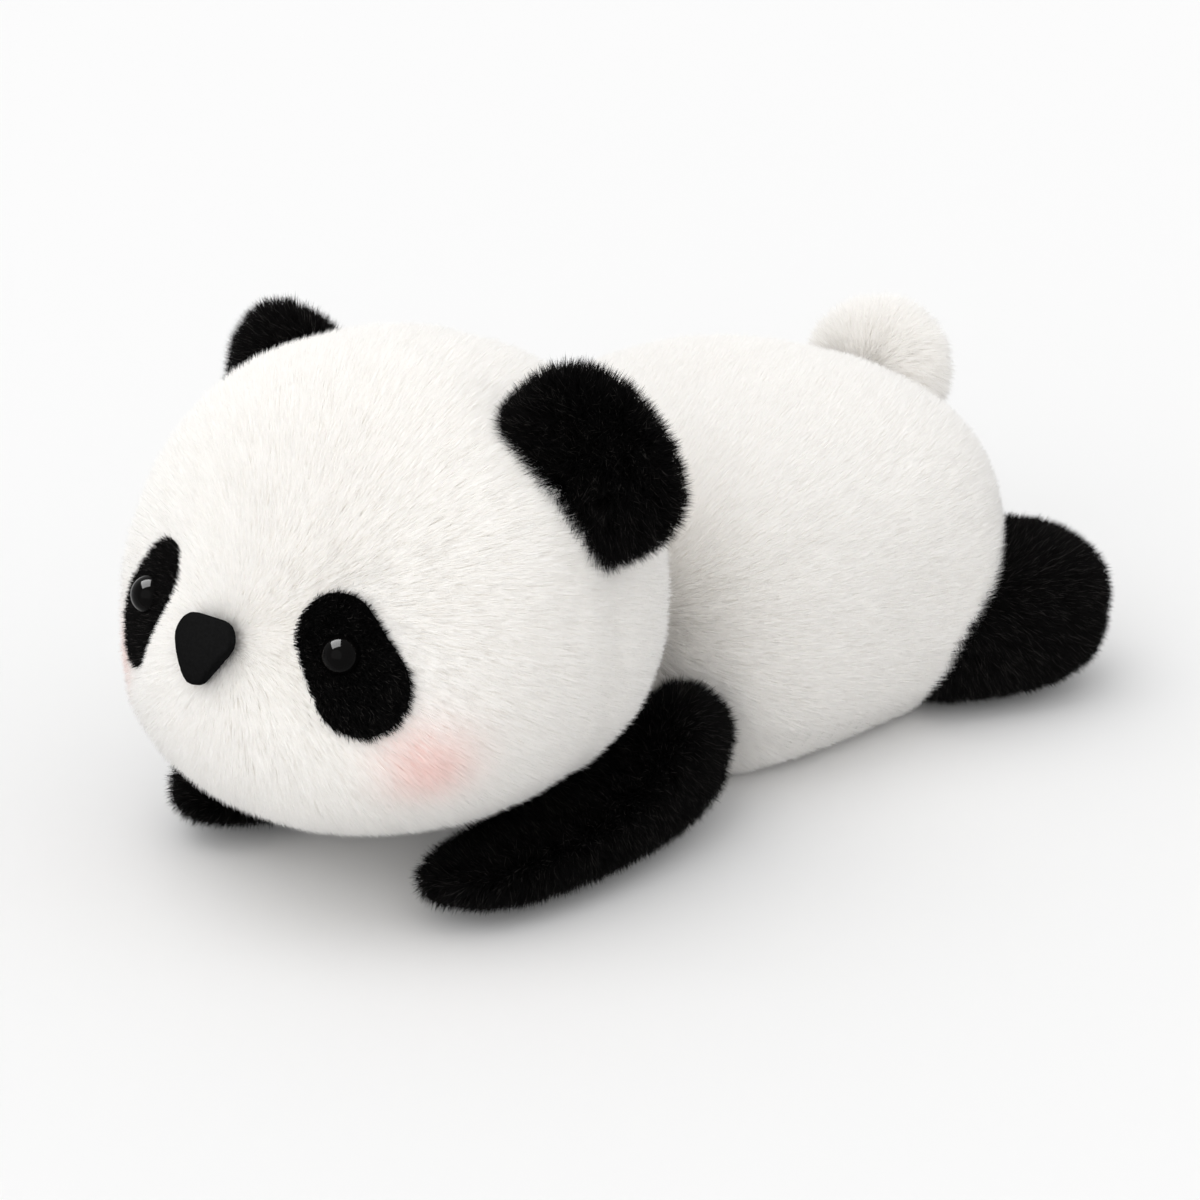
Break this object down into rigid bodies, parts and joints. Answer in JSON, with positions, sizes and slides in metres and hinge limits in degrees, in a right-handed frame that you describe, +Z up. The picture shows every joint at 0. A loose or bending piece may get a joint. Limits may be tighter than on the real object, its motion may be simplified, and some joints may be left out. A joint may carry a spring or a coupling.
{
  "type": "plush panda",
  "caption": "Lying plush panda with a round head on its paws, folding ears, swinging limbs and a ball tail.",
  "frame": {"origin": "on the belly's resting face, under the middle of the torso", "axes": "+Z up, -Y the way the panda looks, +X to the panda's left"},
  "size_m": [0.1916, 0.3265, 0.1525],
  "materials": {
    "white_plush": "soft long pile",
    "black_plush": "soft long pile",
    "nose_suede": "matt flock",
    "eye_plastic": "polished",
    "washer_plastic": "moulded",
    "stuffing": "loose fibre",
    "thread": "twisted"
  },
  "bodies": {
    "torso": {"back_left_panel": "white_plush", "back_right_panel": "white_plush", "belly_panel": "white_plush", "torso_stuffing": "stuffing", "closing_stitches": "thread"},
    "neck": {"neck_stuffing": "stuffing", "neck_thread": "thread"},
    "head": {"face_panel": "white_plush", "head_back_left_panel": "white_plush", "head_back_right_panel": "white_plush", "head_stuffing": "stuffing", "left_eye_patch": "black_plush", "right_eye_patch": "black_plush", "left_eye": "eye_plastic", "right_eye": "eye_plastic", "left_eye_washer": "washer_plastic", "right_eye_washer": "washer_plastic", "nose": "nose_suede", "nose_washer": "washer_plastic"},
    "left_ear": {"left_ear_front_panel": "black_plush", "left_ear_back_panel": "black_plush", "left_ear_stuffing": "stuffing"},
    "left_arm": {"left_arm_upper_panel": "black_plush", "left_arm_under_panel": "black_plush", "left_arm_stuffing": "stuffing"},
    "left_leg": {"left_leg_upper_panel": "black_plush", "left_leg_under_panel": "black_plush", "left_leg_stuffing": "stuffing"},
    "right_ear": {"right_ear_front_panel": "black_plush", "right_ear_back_panel": "black_plush", "right_ear_stuffing": "stuffing"},
    "right_arm": {"right_arm_upper_panel": "black_plush", "right_arm_under_panel": "black_plush", "right_arm_stuffing": "stuffing"},
    "right_leg": {"right_leg_upper_panel": "black_plush", "right_leg_under_panel": "black_plush", "right_leg_stuffing": "stuffing"},
    "tail": {"tail_cover": "white_plush", "tail_stuffing": "stuffing"}
  },
  "joints": [
    {"name": "head_turn", "type": "hinge", "parent": "torso", "child": "neck", "pos_m": [0, -0.0835, 0.06075], "axis": [0, 0, 1], "range_deg": [-15, 15], "stiffness_Nm_per_rad": 0.6},
    {"name": "head_lift", "type": "hinge", "parent": "neck", "child": "head", "pos_m": [0, -0.0835, 0.06075], "axis": [-1, 0, 0], "range_deg": [0, 15], "stiffness_Nm_per_rad": 0.6},
    {"name": "left_arm_swing", "type": "hinge", "parent": "torso", "child": "left_arm", "pos_m": [0.046, -0.093, 0.02], "axis": [0, 0, 1], "range_deg": [-5, 40], "stiffness_Nm_per_rad": 0.08},
    {"name": "right_arm_swing", "type": "hinge", "parent": "torso", "child": "right_arm", "pos_m": [-0.046, -0.093, 0.02], "axis": [0, 0, -1], "range_deg": [-5, 40], "stiffness_Nm_per_rad": 0.08},
    {"name": "left_leg_swing", "type": "hinge", "parent": "torso", "child": "left_leg", "pos_m": [0.0524, 0.03758, 0.025], "axis": [0, 0, -1], "range_deg": [-8, 8], "stiffness_Nm_per_rad": 0.12},
    {"name": "right_leg_swing", "type": "hinge", "parent": "torso", "child": "right_leg", "pos_m": [-0.0524, 0.03758, 0.025], "axis": [0, 0, 1], "range_deg": [-8, 8], "stiffness_Nm_per_rad": 0.12},
    {"name": "left_ear_fold", "type": "hinge", "parent": "head", "child": "left_ear", "pos_m": [0.05639, -0.1445, 0.11615], "axis": [-0.6081, -0.1564, 0.7783], "range_deg": [-15, 15], "stiffness_Nm_per_rad": 0.06},
    {"name": "right_ear_fold", "type": "hinge", "parent": "head", "child": "right_ear", "pos_m": [-0.0547, -0.10935, 0.10198], "axis": [-0.6081, 0.1564, -0.7783], "range_deg": [-15, 15], "stiffness_Nm_per_rad": 0.06},
    {"name": "tail_wag", "type": "hinge", "parent": "torso", "child": "tail", "pos_m": [0, 0.06356, 0.06395], "axis": [0, -0.6209, 0.7839], "range_deg": [-12, 12], "stiffness_Nm_per_rad": 0.08}
  ]
}
